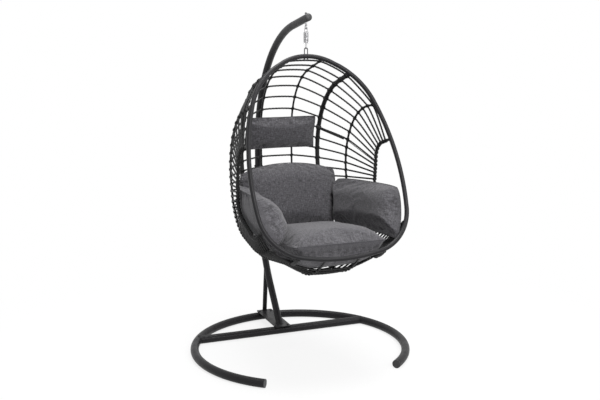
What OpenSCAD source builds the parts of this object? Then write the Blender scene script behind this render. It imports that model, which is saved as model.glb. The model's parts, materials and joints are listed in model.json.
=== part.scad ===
// Hanging egg chair: an open strand basket on a spring hanger, under a bowed
// post on a C-shaped floor ring. Millimetres, +Z up, the seat faces -Y.

/* [Floor ring] */
// Radius of the ring, to the middle of its tube
ring_radius = 615; // [560:5:680]
// Diameter of the ring tube and the cross tube
ring_tube = 48; // [40:1:54]
// Wall of the ring tube and the cross tube
ring_wall = 1.5; // [1.2:0.1:2.5]
// Half of the angle left open at the front
ring_opening = 39; // [30:1:50]
// Distance of the cross tube behind the ring's centre
cross_y = 307; // [260:1:340]

/* [Foot plate] */
// Width of the foot plate
plate_width = 100; // [92:1:120]
// Thickness of the foot plate
plate_thickness = 6; // [4:1:10]
// Margin of the plate beyond the middle of each tube
plate_margin = 28; // [24:1:40]
// Distance between the two bolts of a pair
bolt_spacing = 76; // [70:1:80]
// Diameter of the foot bolts
foot_bolt = 8; // [6:1:10]

/* [Post and arm] */
// Diameter of the post and arm tube
post_tube = 42; // [38:1:48]
// Wall of the post and arm tube
post_wall = 1.8; // [1.5:0.1:2.5]
// Distance of the upright behind the ring's centre
post_y = 732; // [700:1:760]
// Lean of the post at its foot
post_lean = 38.4; // [34:0.2:42]
// Straight length at the foot
foot_straight = 258; // [220:1:300]
// Radius of the lower bend
post_bend_radius = 1017; // [950:1:1080]
// Height of the joint between the post and the arm
joint_height = 1030; // [960:1:1080]
// Height at which the arm starts to bend
arm_bend_height = 1113; // [1100:1:1200]
// Radius of the arm bend
arm_bend_radius = 770; // [720:1:820]
// Angle of the arm bend
arm_bend_angle = 79; // [75:0.5:85]
// Straight length of the arm past the hanger
arm_past_hanger = 32; // [26:1:50]
// Length of the spigot that joins the arm to the post
spigot_length = 90; // [60:1:120]
// Diameter of the post bolt
post_bolt_size = 8; // [6:1:10]
// Diameter of the rear brace
brace_tube = 28; // [22:1:32]
// Height at which the brace meets the post
brace_height = 372; // [330:1:420]

/* [Hanger] */
// Distance of the hanger in front of the ring's centre
hanger_y = 88; // [70:1:110]
// Drop from the arm's underside to the middle of the eye
eye_drop = 24; // [21:1:30]
// Radius of the eye, to the middle of its wire
eye_radius = 11; // [10:0.5:14]
// Diameter of the eye's wire
eye_wire = 7; // [6:0.5:8]
// Diameter of the drawbar wire
drawbar_wire = 4.5; // [4:0.1:5]
// Distance of a drawbar's legs from its middle
drawbar_leg = 8; // [7.5:0.1:8.2]
// Mean radius of the coil
coil_radius = 13; // [12.5:0.1:15]
// Diameter of the coil's wire
coil_wire = 4; // [3:0.1:4.4]
// Length of the coil, to the middle of its end turns
coil_length = 54; // [48:1:70]
// Number of turns of the coil
coil_turns = 9; // [7:1:10]
// Drop from the eye to the top of the coil
coil_drop = 28; // [26:1:40]
// Length of the drawbar loop below the coil
lower_loop = 30; // [26:1:44]

/* [Hoop] */
// Diameter of the hoop tube
hoop_tube = 25; // [22:1:28]
// Wall of the hoop tube
hoop_wall = 1.8; // [1.2:0.1:2.2]
// Height of the hoop hook above the hoop
hook_height = 45; // [40:1:60]
// Diameter of the hook's rod
hook_rod = 6; // [5:0.5:7]
// Distance of the hook's legs from its middle
hook_leg = 9; // [8:0.5:11]
// Lean of the hoop from upright
hoop_lean = 27.2; // [24:0.2:30]
// Radius of the crown
crown_radius = 288; // [270:1:310]
// Half angle of the crown
crown_angle = 30.2; // [27:0.2:33]
// Straight run from the crown to the shoulder
shoulder_run = 30; // [10:1:50]
// Radius of the shoulder
shoulder_radius = 407; // [380:1:430]
// Angle of the shoulder
shoulder_angle = 40.4; // [38:0.2:43]
// Radius of the side
side_radius = 1385; // [1300:5:1450]
// Angle of the side
side_angle = 26; // [24:0.2:28]
// Radius of the lower corner
corner_radius = 260; // [245:1:275]
// Angle of the lower corner
corner_angle = 71.2; // [68:0.2:74]
// Distance of the arch joints from the middle
arch_half_width = 222; // [200:1:226]

/* [Ribs and strands] */
// Distance of the centre ribs from the middle
center_rib_x = 97; // [80:1:115]
// Distance of the main ribs from the middle
main_rib_x = 241; // [236:1:260]
// Distance of the side ribs from the middle
side_rib_x = 358; // [340:1:370]
// Distance of the arm ribs from the middle
arm_rib_x = 409; // [400:1:414]
// Diameter of the centre ribs
center_rib = 12; // [10:0.5:14]
// Diameter of the bound main ribs
main_rib = 26; // [22:1:30]
// Diameter of the side ribs
side_rib = 13; // [10:0.5:15]
// Diameter of the arm ribs
arm_rib = 16; // [12:0.5:18]
// Wall of the ribs' tubes
rib_wall = 1.5; // [1:0.1:2]
// Diameter of the strands
strand = 9; // [6:0.1:10]
// Number of strands up the open back
open_strands = 13; // [10:1:13]
// Share of a rib between the first two strands
open_step = 0.0443; // [0.042:0.0001:0.046]
// Share of a rib between the strands under the seat
close_step = 0.02; // [0.018:0.001:0.03]

/* [Cushions] */
// Width of the seat cushion
seat_width = 505; // [480:5:520]
// Depth of the seat cushion
seat_depth = 650; // [600:5:660]
// Crown of the seat cushion above its seam
seat_over = 80; // [50:5:90]
// Depth of the seat cushion below its seam
seat_under = 138.4; // [90:0.2:140]
// Distance of the seat's front seam in front of the ring's centre
seat_front = 586; // [560:2:600]
// Width of the back cushion
back_width = 596; // [500:4:600]
// Height of the back cushion
back_height = 350; // [320:5:400]
// Depth of the back cushion in front of its seam
back_front = 75; // [50:5:80]
// Depth of the back cushion behind its seam
back_behind = 154.3; // [100:0.1:156]
// Lean of the back cushion
back_lean = 19; // [16:1:22]
// Height of the back cushion's lower seam
back_foot_z = 700; // [690:2:720]
// Length of an arm cushion
arm_length = 636; // [600:1:642]
// Height of an arm cushion
arm_height = 250; // [220:5:280]
// Depth of the right arm cushion inside its seam
right_arm_inside = 101; // [80:1:120]
// Depth of the left arm cushion inside its seam
left_arm_inside = 151; // [110:1:155]
// Depth of the arm cushions outside their seam
arm_outside = 10; // [6:1:12]
// Height of the arm cushions' lower seam
arm_foot_z = 745; // [740:1:760]
// Width of the head pillow
pillow_width = 440; // [380:5:445]
// Height of the head pillow
pillow_height = 200; // [160:5:220]
// Depth of the head pillow in front of its seam
pillow_front = 43; // [30:1:46]
// Depth of the head pillow behind its seam
pillow_behind = 32; // [20:1:34]
// Height of the head pillow's middle
pillow_z = 1245; // [1230:1:1260]
// Distance of the head pillow's middle behind the ring's centre
pillow_y = 312; // [300:1:316]
// Lean of the head pillow towards the front
pillow_lean = 14; // [10:0.5:18]

/* [Hidden] */
clearance = 0.3;
seat_clearance = 0.6;
post_r = post_tube / 2;
hoop_r = hoop_tube / 2;
ring_r = ring_tube / 2;
plate_top = ring_tube + plate_thickness;
round_fn = 48;
rod_fn = 36;
sweep_fn = 180;

// ---------- plane paths: straights [length] and bends [radius, turn] ----------

function heading(a) = [cos(a), sin(a)];

function bend_move(r, turn, a) =
    let (side = sign(turn))
    side * r * ([-sin(a), cos(a)] + [sin(a + turn), -cos(a + turn)]);

function step_move(s, a) = len(s) == 1 ? s[0] * heading(a) : bend_move(s[0], s[1], a);

function step_length(s) = len(s) == 1 ? s[0] : s[0] * abs(s[1]) * PI / 180;

function step_turn(s) = len(s) == 1 ? 0 : s[1];

// Start point and heading of every step of a path
function walk(path, p, a, i = 0) =
    i == len(path)
    ? [[p, a]]
    : concat([[p, a]], walk(path, p + step_move(path[i], a), a + step_turn(path[i]), i + 1));

function path_length(path, i = 0) = i == len(path) ? 0 : step_length(path[i]) + path_length(path, i + 1);

function part_step(s, share) = len(s) == 1 ? [s[0] * share] : [s[0], s[1] * share];

// Point at a distance along a path
function point_at(path, p, a, distance, i = 0) =
    let (l = step_length(path[i]))
    distance <= l || i == len(path) - 1
    ? p + step_move(part_step(path[i], distance / l), a)
    : point_at(path, p + step_move(path[i], a), a + step_turn(path[i]), distance - l, i + 1);

// Heading at a distance along a path
function heading_at(path, a, distance, i = 0) =
    let (l = step_length(path[i]))
    distance <= l || i == len(path) - 1
    ? a + step_turn(path[i]) * distance / l
    : heading_at(path, a + step_turn(path[i]), distance - l, i + 1);

// Every other step is a hair thinner and laps into its neighbours, so that the steps join as one
hair = 0.3;
lap = 0.5;

module step_solid(s, d, before, after) {
    if (len(s) == 1)
        translate([-before, 0, 0])
        rotate([0, 90, 0])
        cylinder(d = d, h = s[0] + before + after, $fn = rod_fn);
    else {
        more = [before, after] / s[0] * 180 / PI;
        translate([0, sign(s[1]) * s[0], 0])
        rotate_extrude(start = s[1] > 0 ? -90 - more[0] : 90 + s[1] - more[1],
            angle = abs(s[1]) + more[0] + more[1], $fn = sweep_fn)
        translate([s[0], 0])
        circle(d = d, $fn = rod_fn);
    }
}

// Steps of a path one after another, each in the frame at the end of the last
module chain(path, d, i) {
    thin = i % 2;
    more = i < len(path) - 1;
    end = step_move(path[i], 0);
    step_solid(path[i], d - 2 * hair * thin, lap * thin, more ? lap * thin : 0);
    if (more)
        translate([end[0], end[1], 0])
        rotate([0, 0, step_turn(path[i])])
        chain(path, d, i + 1);
}

// Round bar along a path in the XY plane
module bar(path, p, a, d) {
    translate([p[0], p[1], 0]) rotate([0, 0, a]) chain(path, d, 0);
}

// Round tube along a path in the XY plane
module tube(path, p, a, d, wall) {
    difference() {
        bar(path, p, a, d);
        bar(path, p, a, d - 2 * wall);
    }
}

// Turns the XY plane into the YZ plane at x
module side_plane(x) {
    translate([x, 0, 0]) rotate([90, 0, 90]) children();
}

// ---------- places that several pieces share ----------

// The post rises from the plate, leans back and turns upright
foot_path = [[foot_straight], [post_bend_radius, post_lean]];
foot_rise = (foot_straight * heading(90 - post_lean)
    + bend_move(post_bend_radius, post_lean, 90 - post_lean));
foot_y = post_y - foot_rise[0];
upright_z = plate_top + foot_rise[1];
post_path = concat(foot_path, [[joint_height - upright_z]]);

arm_end_heading = 90 + arm_bend_angle;
arm_bend_end = [post_y, arm_bend_height] + bend_move(arm_bend_radius, arm_bend_angle, 90);
arm_run = (arm_bend_end[0] + hanger_y) / cos(180 - arm_end_heading);
arm_path = [[arm_bend_height - joint_height], [arm_bend_radius, arm_bend_angle],
    [arm_run + arm_past_hanger]];
hang_point = arm_bend_end + arm_run * heading(arm_end_heading);
arm_slope = 90 - arm_bend_angle;
arm_under = hang_point[1] - post_r / cos(arm_slope);
arm_over = hang_point[1] + post_r / cos(arm_slope);
arm_tip = hang_point + arm_past_hanger * heading(arm_end_heading);

// Hanger heights, from the arm down
eye_z = arm_under - eye_drop;
top_pivot_z = eye_z - eye_radius;
upper_bow_z = top_pivot_z + eye_wire / 2 + drawbar_wire / 2 + clearance - drawbar_leg;
coil_top = eye_z - coil_drop;
coil_bottom = coil_top - coil_length;
coil_reach = (coil_wire + drawbar_wire) / 2 + clearance;
low_pivot_z = coil_bottom - lower_loop;
hook_bow_z = low_pivot_z - hook_leg;
lower_bow_z = low_pivot_z - (hook_rod + drawbar_wire) / 2 - clearance + drawbar_leg;
hoop_top = low_pivot_z - hook_height;

// Right half of the hoop, from its crown to its lowest point
closing_angle = 180 - crown_angle - shoulder_angle - side_angle - corner_angle;
open_half = [[crown_radius, -crown_angle], [shoulder_run], [shoulder_radius, -shoulder_angle],
    [side_radius, -side_angle], [corner_radius, -corner_angle]];
open_half_end = walk(open_half, [0, 0], 0)[len(open_half)];
closing_radius = open_half_end[0][0] / sin(closing_angle);
half_hoop = concat(open_half, [[closing_radius, -closing_angle]]);
half_length = path_length(half_hoop);
hoop_height = -walk(half_hoop, [0, 0], 0)[len(half_hoop)][0][1];
widest_turn = 90 - crown_angle - shoulder_angle;
widest_at = path_length([open_half[0], open_half[1], open_half[2], [side_radius, -widest_turn]]);

// Origin: the middle of the whole chair's footprint, on the floor
front_y = -hanger_y - hoop_height * sin(hoop_lean) - hoop_r;
back_y = post_y + post_r;
origin_y = (front_y + back_y) / 2;

// Lets the pieces be written about the ring's centre
module on_floor() {
    translate([0, -origin_y, 0]) children();
}

// Turns the XY plane into the hoop's plane, its crown at the hanger
module hoop_plane() {
    translate([0, -hanger_y, hoop_top]) rotate([90 - hoop_lean, 0, 0]) children();
}

function hoop_point(distance) = point_at(half_hoop, [0, 0], 0, distance);

// Distance along the half hoop at which it is x wide, between two distances
function hoop_distance(x, low, high, i = 0) =
    let (
        middle = (low + high) / 2,
        wide = hoop_point(middle)[0],
        rising = hoop_point(high)[0] > hoop_point(low)[0]
    )
    i == 24
    ? middle
    : (wide < x) == rising
        ? hoop_distance(x, middle, high, i + 1)
        : hoop_distance(x, low, middle, i + 1);

// Side view place [y, z] of a height in the hoop's plane
function hoop_side(w) = [w * sin(hoop_lean) - hanger_y, w * cos(hoop_lean) + hoop_top];

// ---------- ribs: three bends in a side plane, both ends on the hoop ----------

// [x, diameter, first straight, headings, bend radii]
center_spec = [center_rib_x, center_rib, 220, [-17.6, -91.6, -180.1, -226.3], [400, 432, 481]];
main_spec = [main_rib_x, main_rib, 166, [-18.4, -98.6, -187.8, -227.2], [451, 357, 190]];
side_spec = [side_rib_x, side_rib, 90, [-9.5, -104.5, -170.1, -219.9], [362, 276, 415]];
arm_spec = [arm_rib_x, arm_rib, 112, [-16.6, -84.3, -160.4, -245.2], [103, 113, 138]];

function rib_start(spec) = hoop_side(hoop_point(hoop_distance(spec[0], 0, widest_at))[1]);

function rib_end(spec) = hoop_side(hoop_point(hoop_distance(spec[0], widest_at, half_length))[1]);

// The two middle straights are as long as the ends on the hoop ask
function rib_path(spec) =
    let (
        a = spec[3],
        r = spec[4],
        bends = [for (i = [0 : 2]) bend_move(r[i], a[i + 1] - a[i], a[i])],
        bent = bends[0] + bends[1] + bends[2],
        rest = rib_end(spec) - rib_start(spec) - spec[2] * heading(a[0]) - bent,
        first = heading(a[1]),
        second = heading(a[2]),
        scale = cross(first, second)
    )
    [[spec[2]], [r[0], a[1] - a[0]], [cross(rest, second) / scale],
        [r[1], a[2] - a[1]], [cross(first, rest) / scale], [r[2], a[3] - a[2]]];

center_path = rib_path(center_spec);
main_path = rib_path(main_spec);
side_path = rib_path(side_spec);
arm_rib_path = rib_path(arm_spec);

// Bays between neighbouring ribs, from the middle outwards
ribs = [[center_spec, center_path], [main_spec, main_path], [side_spec, side_path],
    [arm_spec, arm_rib_path]];

// The strands gather along the upper part of the short arm ribs
function rib_share(i, share) = i < 3 ? share : lookup(share, [[0, 0.054], [0.44, 0.4], [1, 1]]);

function rib_point(i, share) =
    let (
        spec = ribs[i][0],
        path = ribs[i][1],
        p = point_at(path, rib_start(spec), spec[3][0], rib_share(i, share) * path_length(path))
    )
    [spec[0], p[0], p[1]];

function rib_tangent(i, share) =
    let (
        spec = ribs[i][0],
        path = ribs[i][1],
        a = heading_at(path, spec[3][0], rib_share(i, share) * path_length(path))
    )
    [0, cos(a), sin(a)];

// Straight stretch of the hoop's outside at a distance along one of its halves
module hoop_cutter(distance, side, reach) {
    p = hoop_point(distance);
    hoop_plane()
    translate([side * p[0], p[1], 0])
    rotate([0, 0, side * heading_at(half_hoop, 0, distance)])
    rotate([0, 90, 0])
    cylinder(d = hoop_tube + 2 * seat_clearance, h = 2 * reach, center = true, $fn = rod_fn);
}

// Both ends are coped to the hoop. Drawn on the other side and mirrored over, so that its mesh closes.
module rib(i, side) {
    spec = ribs[i][0];
    color("#26272b")
    on_floor()
    mirror([1, 0, 0])
    difference() {
        side_plane(-side * spec[0]) tube(ribs[i][1], rib_start(spec), spec[3][0], spec[1], rib_wall);
        hoop_cutter(hoop_distance(spec[0], 0, widest_at), -side, 2 * spec[1]);
        hoop_cutter(hoop_distance(spec[0], widest_at, half_length), -side, 2 * spec[1]);
    }
}

// Straight rod between two points, its ends kept clear of the ribs it joins
module strand_rod(a, b, a_axis, b_axis, a_r, b_r) {
    run = b - a;
    length = norm(run);
    way = run / length;
    a_cos = abs(way * a_axis);
    b_cos = abs(way * b_axis);
    a_trim = (a_r + strand / 2 * a_cos + clearance) / sqrt(1 - a_cos * a_cos);
    b_trim = (b_r + strand / 2 * b_cos + clearance) / sqrt(1 - b_cos * b_cos);
    translate(a + way * a_trim)
    rotate([0, acos(way[2]), atan2(way[1], way[0])])
    cylinder(d = strand, h = length - a_trim - b_trim, $fn = rod_fn);
}

// Shares of a rib at which strands cross it
first_share = 0.022;
last_share = 0.95;
tightening = 0.0008;
open_rows = [for (k = [0 : open_strands - 1]) first_share + open_step * k - tightening * k * k];
close_start = open_rows[open_strands - 1] + 1.2 * close_step;
close_rows = [for (share = [close_start : close_step : last_share]) share];

// Strands of the bay between rib i and the next one outwards
module side_bay(i, side, rows) {
    color("#1d1e21")
    on_floor()
    mirror([side < 0 ? 1 : 0, 0, 0])
    for (share = rows)
        strand_rod(rib_point(i, share), rib_point(i + 1, share), rib_tangent(i, share),
            rib_tangent(i + 1, share), ribs[i][0][1] / 2, ribs[i + 1][0][1] / 2);
}

// Strands between the two centre ribs
module middle_bay(rows) {
    color("#1d1e21")
    on_floor()
    for (share = rows) {
        p = rib_point(0, share);
        reach = center_rib_x - center_rib / 2 - clearance;
        translate([-reach, p[1], p[2]])
        rotate([0, 90, 0])
        cylinder(d = strand, h = 2 * reach, $fn = rod_fn);
    }
}

// ---------- stand ----------

module ring_tube_solid(extra) {
    translate([0, 0, ring_r])
    rotate([0, 0, ring_opening - 90])
    rotate_extrude(angle = 360 - 2 * ring_opening, $fn = sweep_fn)
    translate([ring_radius, 0])
    circle(d = ring_tube + 2 * extra, $fn = round_fn);
}

module bolt_places() {
    for (x = [-1, 1], y = [cross_y, ring_radius])
        translate([x * bolt_spacing / 2, y, 0]) children();
}

module insert_holes() {
    bolt_places()
    translate([0, 0, ring_r])
    cylinder(r = insert_r + clearance, h = ring_tube, $fn = rod_fn);
}

module base_ring() {
    color("#2b2c30")
    on_floor()
    difference() {
        translate([0, 0, ring_r])
        rotate([0, 0, ring_opening - 90])
        rotate_extrude(angle = 360 - 2 * ring_opening, $fn = sweep_fn)
        translate([ring_radius, 0])
        difference() {
            circle(d = ring_tube, $fn = round_fn);
            circle(d = ring_tube - 2 * ring_wall, $fn = round_fn);
        }
        insert_holes();
    }
}

module ring_end_caps() {
    cap_lip = 3;
    cap_plug = 20;
    color("#232427")
    on_floor()
    for (side = [-1, 1])
        rotate([0, 0, side * ring_opening])
        translate([0, -ring_radius, ring_r])
        rotate([0, -side * 90, 0]) {
            cylinder(d = ring_tube, h = cap_lip, $fn = round_fn);
            translate([0, 0, -cap_plug])
            cylinder(d = ring_tube - 2 * ring_wall - 4 * clearance, h = cap_plug, $fn = round_fn);
        }
}

module cross_tube() {
    color("#2b2c30")
    on_floor()
    difference() {
        translate([-ring_radius, cross_y, ring_r])
        rotate([0, 90, 0])
        difference() {
            cylinder(d = ring_tube, h = 2 * ring_radius, $fn = round_fn);
            translate([0, 0, -1])
            cylinder(d = ring_tube - 2 * ring_wall, h = 2 * ring_radius + 2, $fn = round_fn);
        }
        ring_tube_solid(clearance);
        difference() {
            translate([0, 0, -1]) cylinder(r = 2 * ring_radius, h = ring_tube + 2, $fn = round_fn);
            translate([0, 0, -2]) cylinder(r = ring_radius, h = ring_tube + 4, $fn = sweep_fn);
        }
        insert_holes();
    }
}

plate_front = cross_y - plate_margin;
plate_back = ring_radius + plate_margin;

module foot_plate() {
    corner = 6;
    color("#303135")
    on_floor()
    difference() {
        translate([0, 0, ring_tube])
        linear_extrude(plate_thickness)
        difference() {
            translate([-plate_width / 2, plate_front])
            square([plate_width, plate_back - plate_front]);
            for (x = [-1, 1], y = [plate_front, plate_back])
                translate([x * plate_width / 2, y])
                rotate(45)
                square(corner * sqrt(2), center = true);
        }
        bolt_places() cylinder(d = foot_bolt + 2 * clearance, h = plate_top + 1, $fn = rod_fn);
    }
}

bolt_head_r = foot_bolt * 0.8;
bolt_head_h = foot_bolt * 0.55;
washer_r = foot_bolt;
washer_h = 1.6;
bolt_below_plate = 14;

module foot_bolts() {
    color("#55565a")
    on_floor()
    bolt_places() {
        translate([0, 0, plate_top]) cylinder(r = washer_r, h = washer_h, $fn = rod_fn);
        translate([0, 0, plate_top + washer_h]) cylinder(r = bolt_head_r, h = bolt_head_h, $fn = 6);
        translate([0, 0, ring_tube - bolt_below_plate])
        cylinder(d = foot_bolt, h = bolt_below_plate + plate_thickness, $fn = rod_fn);
    }
}

insert_r = foot_bolt / 2 + 1.6;
insert_length = 16;

module foot_inserts() {
    color("#8b8c90")
    on_floor()
    bolt_places()
    translate([0, 0, ring_tube - insert_length - 1])
    difference() {
        cylinder(r = insert_r, h = insert_length, $fn = rod_fn);
        translate([0, 0, -1]) cylinder(d = foot_bolt + clearance, h = insert_length + 2, $fn = rod_fn);
    }
}

module post_bolt_hole(d) {
    translate([-post_tube, post_y, joint_height - spigot_length / 2])
    rotate([0, 90, 0])
    cylinder(d = d, h = 2 * post_tube, $fn = rod_fn);
}

// The straight foot starts inside the plate and is cut off flat on it
foot_start = [foot_y, plate_top] - post_r * heading(90 - post_lean);
foot_run = foot_straight + post_r;

module under_plate_top(width, y) {
    translate([-width, y - 3 * width, plate_top - 2 * width]) cube([2 * width, 6 * width, 2 * width]);
}

module lower_post() {
    color("#2b2c30")
    on_floor()
    difference() {
        side_plane(0)
        tube([[foot_run], post_path[1], post_path[2]], foot_start, 90 - post_lean, post_tube, post_wall);
        under_plate_top(post_tube, foot_y);
        post_bolt_hole(post_bolt_size + 2 * clearance);
    }
}

// Sleeve inside the joint: fixed in the arm, bolted in the post
module joint_sleeve() {
    sleeve_d = post_tube - 2 * post_wall - 2 * clearance;
    sleeve_up = 60;
    color("#3a3b3f")
    on_floor()
    difference() {
        translate([0, post_y, joint_height - spigot_length])
        difference() {
            cylinder(d = sleeve_d, h = spigot_length + sleeve_up, $fn = round_fn);
            translate([0, 0, -1])
            cylinder(d = sleeve_d - 2 * post_wall, h = spigot_length + sleeve_up + 2, $fn = round_fn);
        }
        post_bolt_hole(post_bolt_size + 2 * clearance);
    }
}

module upper_arm() {
    color("#2b2c30")
    on_floor()
    difference() {
        side_plane(0)
        tube(arm_path, [post_y, joint_height], 90, post_tube, post_wall);
        translate([0, -hanger_y, arm_under - post_tube])
        cylinder(d = eye_shank + 2 * clearance, h = 4 * post_tube, $fn = rod_fn);
    }
}

brace_meets = asin((upright_z - brace_height) / post_bend_radius);
brace_top = [post_y - post_bend_radius * (1 - cos(brace_meets)), brace_height];
brace_foot_y = ring_radius + brace_tube / 2;

module rear_brace() {
    run = brace_top - [brace_foot_y, plate_top];
    color("#2b2c30")
    on_floor()
    difference() {
        side_plane(0)
        tube([[norm(run) + brace_tube]], [brace_foot_y, plate_top] - brace_tube / norm(run) * run,
            atan2(run[1], run[0]), brace_tube, post_wall);
        side_plane(0)
        bar([[foot_run], post_path[1]], foot_start, 90 - post_lean, post_tube + 2 * clearance);
        translate([-brace_tube, foot_y, brace_height - 1])
        cube([2 * brace_tube, post_y - foot_y, 3 * brace_tube]);
        under_plate_top(brace_tube, brace_foot_y);
    }
}

bolt_nut_h = post_bolt_size * 0.8;

module post_bolt() {
    color("#55565a")
    on_floor()
    translate([-post_r - clearance, post_y, joint_height - spigot_length / 2])
    rotate([0, 90, 0]) {
        cylinder(d = post_bolt_size, h = post_tube + 2 * clearance + bolt_nut_h + 2, $fn = rod_fn);
        translate([0, 0, -post_bolt_size * 0.55])
        cylinder(r = post_bolt_size * 0.8, h = post_bolt_size * 0.55, $fn = 6);
    }
}

module post_nut() {
    color("#55565a")
    on_floor()
    translate([post_r + clearance, post_y, joint_height - spigot_length / 2])
    rotate([0, 90, 0])
    difference() {
        cylinder(r = post_bolt_size * 0.85, h = bolt_nut_h, $fn = 6);
        translate([0, 0, -1]) cylinder(d = post_bolt_size + clearance, h = bolt_nut_h + 2, $fn = rod_fn);
    }
}

// Domed plug in the end of the arm
module arm_cap() {
    lip = 2;
    plug = 18;
    dome = 9;
    color("#1f2023")
    on_floor()
    translate([0, arm_tip[0], arm_tip[1]])
    rotate([90 - arm_slope, 0, 0])
    rotate_extrude($fn = round_fn)
    polygon(concat(
        [[0, -plug], [post_r - post_wall - 2 * clearance, -plug], [post_r - post_wall - 2 * clearance, 0],
            [post_r, 0], [post_r, lip]],
        [for (t = [15 : 15 : 90]) [post_r * cos(t), lip + dome * sin(t)]]));
}

// ---------- hanger ----------

eye_shank = 8;
nut_rise = post_bolt_size * tan(arm_slope) + clearance;

module arm_eye() {
    shoulder = 6;
    color("#c9cacd")
    on_floor()
    translate([0, -hanger_y, 0])
    union() {
        translate([0, 0, eye_z])
        rotate([0, 90, 0])
        rotate_extrude($fn = sweep_fn)
        translate([eye_radius, 0])
        circle(d = eye_wire, $fn = rod_fn);
        translate([0, 0, eye_z + eye_radius])
        cylinder(r = shoulder, h = arm_under - shoulder * tan(arm_slope) - clearance - eye_z - eye_radius,
            $fn = rod_fn);
        translate([0, 0, eye_z + eye_radius])
        cylinder(d = eye_shank, h = arm_over + nut_rise + 9 - eye_z - eye_radius, $fn = rod_fn);
    }
}

module arm_eye_nut() {
    color("#2a2b2e")
    on_floor()
    translate([0, -hanger_y, arm_over + nut_rise])
    difference() {
        union() {
            cylinder(r = eye_shank, h = 1.5, $fn = rod_fn);
            translate([0, 0, 1.5]) cylinder(r = eye_shank * 0.85, h = 6, $fn = 6);
        }
        translate([0, 0, -1]) cylinder(d = eye_shank + clearance, h = 12, $fn = rod_fn);
    }
}

// Bow, two legs and two feet that hook the far end of the coil
module drawbar(leg_run) {
    foot_bend = drawbar_wire;
    foot_run = coil_radius - drawbar_leg - foot_bend + coil_wire / 2;
    half = [[drawbar_leg, -90], [leg_run - foot_bend], [foot_bend, 90], [foot_run]];
    for (side = [0, 1])
        mirror([side, 0, 0])
        bar(half, [0, drawbar_leg], 0, drawbar_wire);
}

module upper_drawbar() {
    leg_run = upper_bow_z - coil_bottom + coil_reach;
    color("#c9cacd")
    on_floor()
    translate([0, -hanger_y, upper_bow_z])
    rotate([90, 0, 0])
    drawbar(leg_run);
}

module lower_drawbar() {
    leg_run = coil_top - lower_bow_z + coil_reach;
    color("#c9cacd")
    on_floor()
    translate([0, -hanger_y, lower_bow_z])
    rotate([90, 180, 90])
    drawbar(leg_run);
}

// Coil wound as one tube: rings of points joined side by side
coil_ring_steps = 8;
coil_sides = 6;
coil_rings = coil_turns * coil_ring_steps + 1;
coil_pitch = coil_length / coil_turns;

function coil_vertex(i, j) =
    let (
        turn = 360 * i / coil_ring_steps,
        round = 360 * j / coil_sides,
        r = coil_radius + coil_wire / 2 * cos(round)
    )
    [r * cos(turn), r * sin(turn), coil_pitch * i / coil_ring_steps + coil_wire / 2 * sin(round)];

// Least distance between points one turn apart
coil_gap = min([for (i = [0 : coil_rings - 1 - coil_ring_steps], j = [0 : coil_sides - 1],
    k = [0 : coil_sides - 1]) norm(coil_vertex(i, j) - coil_vertex(i + coil_ring_steps, k))]);
echo(coil_gap = coil_gap);

module coil_spring() {
    last = (coil_rings - 1) * coil_sides;
    color("#b9babd")
    on_floor()
    translate([0, -hanger_y, coil_bottom])
    polyhedron(
        points = [for (i = [0 : coil_rings - 1], j = [0 : coil_sides - 1]) coil_vertex(i, j)],
        faces = concat(
            [for (i = [0 : coil_rings - 2], j = [0 : coil_sides - 1], half = [0, 1])
                let (a = i * coil_sides + j, b = i * coil_sides + (j + 1) % coil_sides)
                half == 0 ? [a, b, a + coil_sides] : [b, b + coil_sides, a + coil_sides]],
            [for (j = [1 : coil_sides - 2], end = [0, 1])
                end == 0 ? [0, j + 1, j] : [last, last + j, last + j + 1]]));
}

// ---------- hoop ----------

hook_end = hoop_top - hoop_r - 9;

// Upturned U through the hoop's crown
module hoop_hook() {
    color("#2a2b2e")
    on_floor()
    translate([0, -hanger_y, hook_bow_z])
    rotate([90, 0, 0])
    for (side = [0, 1])
        mirror([side, 0, 0])
        bar([[hook_leg, -90], [hook_bow_z - hook_end]], [0, hook_leg], 0, hook_rod);
}

module hoop_hook_nuts() {
    nut_h = 5;
    color("#2a2b2e")
    on_floor()
    for (side = [-1, 1])
        translate([side * hook_leg, -hanger_y, hoop_top - hoop_r - nut_h - seat_clearance])
        difference() {
            cylinder(r = hook_rod * 0.85, h = nut_h, $fn = 6);
            translate([0, 0, -1]) cylinder(d = hook_rod + clearance, h = nut_h + 2, $fn = rod_fn);
        }
}

arch_end = hoop_distance(arch_half_width, 0, widest_at);

function reversed(path) = [for (i = [len(path) - 1 : -1 : 0]) path[i]];

// Turns half a path into the whole: its last bend is doubled and the rest follows in reverse
function doubled(path) =
    let (last = len(path) - 1, half = [for (i = [0 : 1 : last - 1]) path[i]])
    concat(half, [[path[last][0], 2 * path[last][1]]], reversed(half));

// First part of a path, up to a distance from its start
function head_of(path, distance, i = 0) =
    let (l = step_length(path[i]))
    distance <= l
    ? [part_step(path[i], distance / l)]
    : concat([path[i]], head_of(path, distance - l, i + 1));

function tail_of(path, distance, i = 0) =
    let (l = step_length(path[i]))
    distance <= l
    ? concat([part_step(path[i], 1 - distance / l)], [for (k = [i + 1 : 1 : len(path) - 1]) path[k]])
    : tail_of(path, distance - l, i + 1);

arch_tip = hoop_point(arch_end);

module hoop_arch() {
    color("#2f3034")
    on_floor()
    difference() {
        hoop_plane()
        tube(doubled(reversed(head_of(half_hoop, arch_end))), [-arch_tip[0], arch_tip[1]],
            -heading_at(half_hoop, 0, arch_end), hoop_tube, hoop_wall);
        for (side = [-1, 1])
            translate([side * hook_leg, -hanger_y, hoop_top - hoop_tube])
            cylinder(d = hook_rod + 2 * clearance, h = 2 * hoop_tube, $fn = rod_fn);
    }
}

lower_start = arch_end + clearance;

module hoop_lower() {
    color("#2f3034")
    on_floor()
    hoop_plane()
    tube(doubled(tail_of(half_hoop, lower_start)), hoop_point(lower_start),
        heading_at(half_hoop, 0, lower_start), hoop_tube, hoop_wall);
}

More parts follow.
